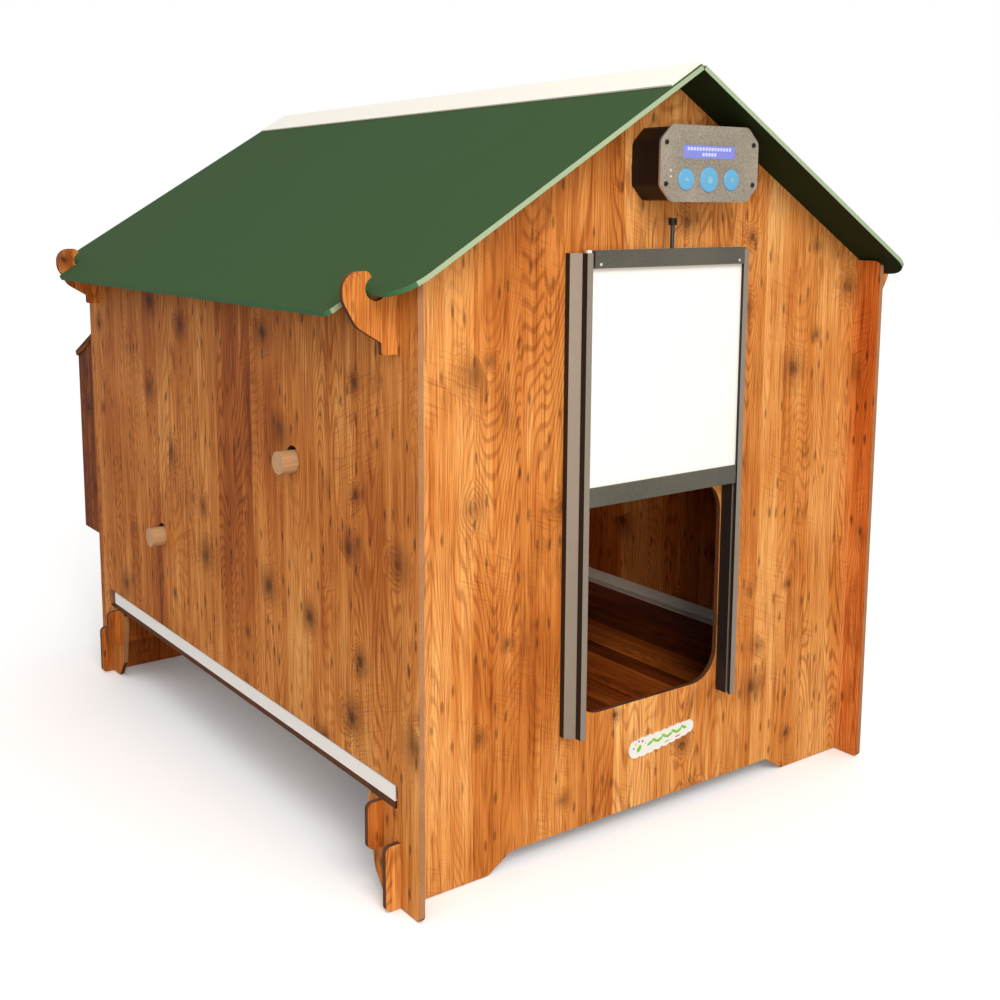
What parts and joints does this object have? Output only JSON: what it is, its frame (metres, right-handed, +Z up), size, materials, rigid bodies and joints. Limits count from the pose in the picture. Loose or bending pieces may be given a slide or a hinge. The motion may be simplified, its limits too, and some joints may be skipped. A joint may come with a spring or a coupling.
{
  "type": "chicken coop",
  "caption": "Flat-pack chicken coop of interlocking wood-look boards with tilting green roof, motorised sliding door, slide-out tray, perches and rear nest box.",
  "frame": {"origin": "on the ground under the middle of the coop's overall box", "axes": "+Z up, the doorway looks along -Y, +X to the right of someone who faces the doorway"},
  "size_m": [0.9514, 1.2316, 0.9987],
  "materials": {
    "pine_board": "satin",
    "roof_board": "matt",
    "ridge_cap": "satin",
    "perch_wood": "raw",
    "rail": "satin anodised",
    "door_white": "white coated",
    "door_band": "satin",
    "rivet": "bright",
    "zinc_screw": "zinc plated",
    "black_screw": "blackened",
    "stem": "plain",
    "black_plastic": "matt",
    "faceplate": "speckled satin",
    "display": "glossy",
    "button_blue": "satin",
    "lamp": "glossy",
    "circuit": "glossy",
    "motor": "satin",
    "spool": "satin",
    "cell": "glossy",
    "plaque": "glossy",
    "white_trim": "white coated",
    "hinge": "satin"
  },
  "bodies": {
    "shell": {"front_gable": "pine_board", "rear_gable": "pine_board", "left_wall": "pine_board", "right_wall": "pine_board", "front_floor_beam": "pine_board", "rear_floor_beam": "pine_board", "roof_right": "roof_board", "rail_left": "rail", "rail_right": "rail", "rail_screws": "zinc_screw", "control_housing": "black_plastic", "box_mount_screws": "zinc_screw", "control_faceplate": "faceplate", "faceplate_screws": "black_screw", "display_window": "display", "indicator_lamps": "lamp", "circuit_board": "circuit", "button_switches": "black_plastic", "gear_motor": "motor", "battery_holder": "black_plastic", "battery_cells": "cell", "cord_eyelet": "black_plastic", "front_plaque": "plaque", "nest_side_left": "pine_board", "nest_side_right": "pine_board", "nest_floor": "pine_board", "nest_back": "pine_board", "hinge_fixed_leaves": "hinge", "hinge_pins": "hinge"},
    "left_roof": {"roof_left": "roof_board", "ridge_cap": "ridge_cap"},
    "door": {"door_panel": "door_white", "door_bottom_band": "door_band", "door_top_band": "door_band", "door_rivets": "rivet", "door_lift_stem": "stem", "door_lift_knob": "black_plastic"},
    "tray": {"tray_floor": "pine_board", "tray_rim_left": "white_trim", "tray_rim_right": "white_trim"},
    "front_perch": {"perch_front": "perch_wood"},
    "rear_perch": {"perch_rear": "perch_wood"},
    "lid": {"nest_lid": "pine_board", "hinge_lid_leaves": "hinge"},
    "left_button": {"button_left": "button_blue"},
    "middle_button": {"button_middle": "button_blue"},
    "right_button": {"button_right": "button_blue"},
    "spool": {"cord_spool": "spool"}
  },
  "joints": [
    {"name": "roof_left_tilt", "type": "hinge", "parent": "shell", "child": "left_roof", "pos_m": [-0.427, -0.0658, 0.73593], "axis": [0, -1, 0], "range_deg": [0, 62]},
    {"name": "door_drop", "type": "slide", "parent": "shell", "child": "door", "axis": [0, 0, -1], "range_m": [0, 0.297]},
    {"name": "spool_turn", "type": "hinge", "parent": "shell", "child": "spool", "pos_m": [-0.006, -0.56534, 0.8753], "axis": [1, 0, 0], "range_deg": [0, 1720]},
    {"name": "tray_pull", "type": "slide", "parent": "shell", "child": "tray", "axis": [-1, 0, 0], "range_m": [0, 0.75]},
    {"name": "front_perch_pull", "type": "slide", "parent": "shell", "child": "front_perch", "axis": [-1, 0, 0], "range_m": [0, 0.8]},
    {"name": "rear_perch_pull", "type": "slide", "parent": "shell", "child": "rear_perch", "axis": [-1, 0, 0], "range_m": [0, 0.8]},
    {"name": "nest_lid_lift", "type": "hinge", "parent": "shell", "child": "lid", "pos_m": [0, 0.42086, 0.64601], "axis": [1, 0, 0], "range_deg": [0, 75]},
    {"name": "left_button_press", "type": "slide", "parent": "shell", "child": "left_button", "axis": [0, 1, 0], "range_m": [0, 0.0015], "stiffness_N_per_m": 400, "springref_m": -0.001},
    {"name": "middle_button_press", "type": "slide", "parent": "shell", "child": "middle_button", "axis": [0, 1, 0], "range_m": [0, 0.0015], "stiffness_N_per_m": 400, "springref_m": -0.001},
    {"name": "right_button_press", "type": "slide", "parent": "shell", "child": "right_button", "axis": [0, 1, 0], "range_m": [0, 0.0015], "stiffness_N_per_m": 400, "springref_m": -0.001}
  ],
  "couplings": [
    {"joint": "spool_turn", "follows": "door_drop", "rad_per_m": 100}
  ]
}
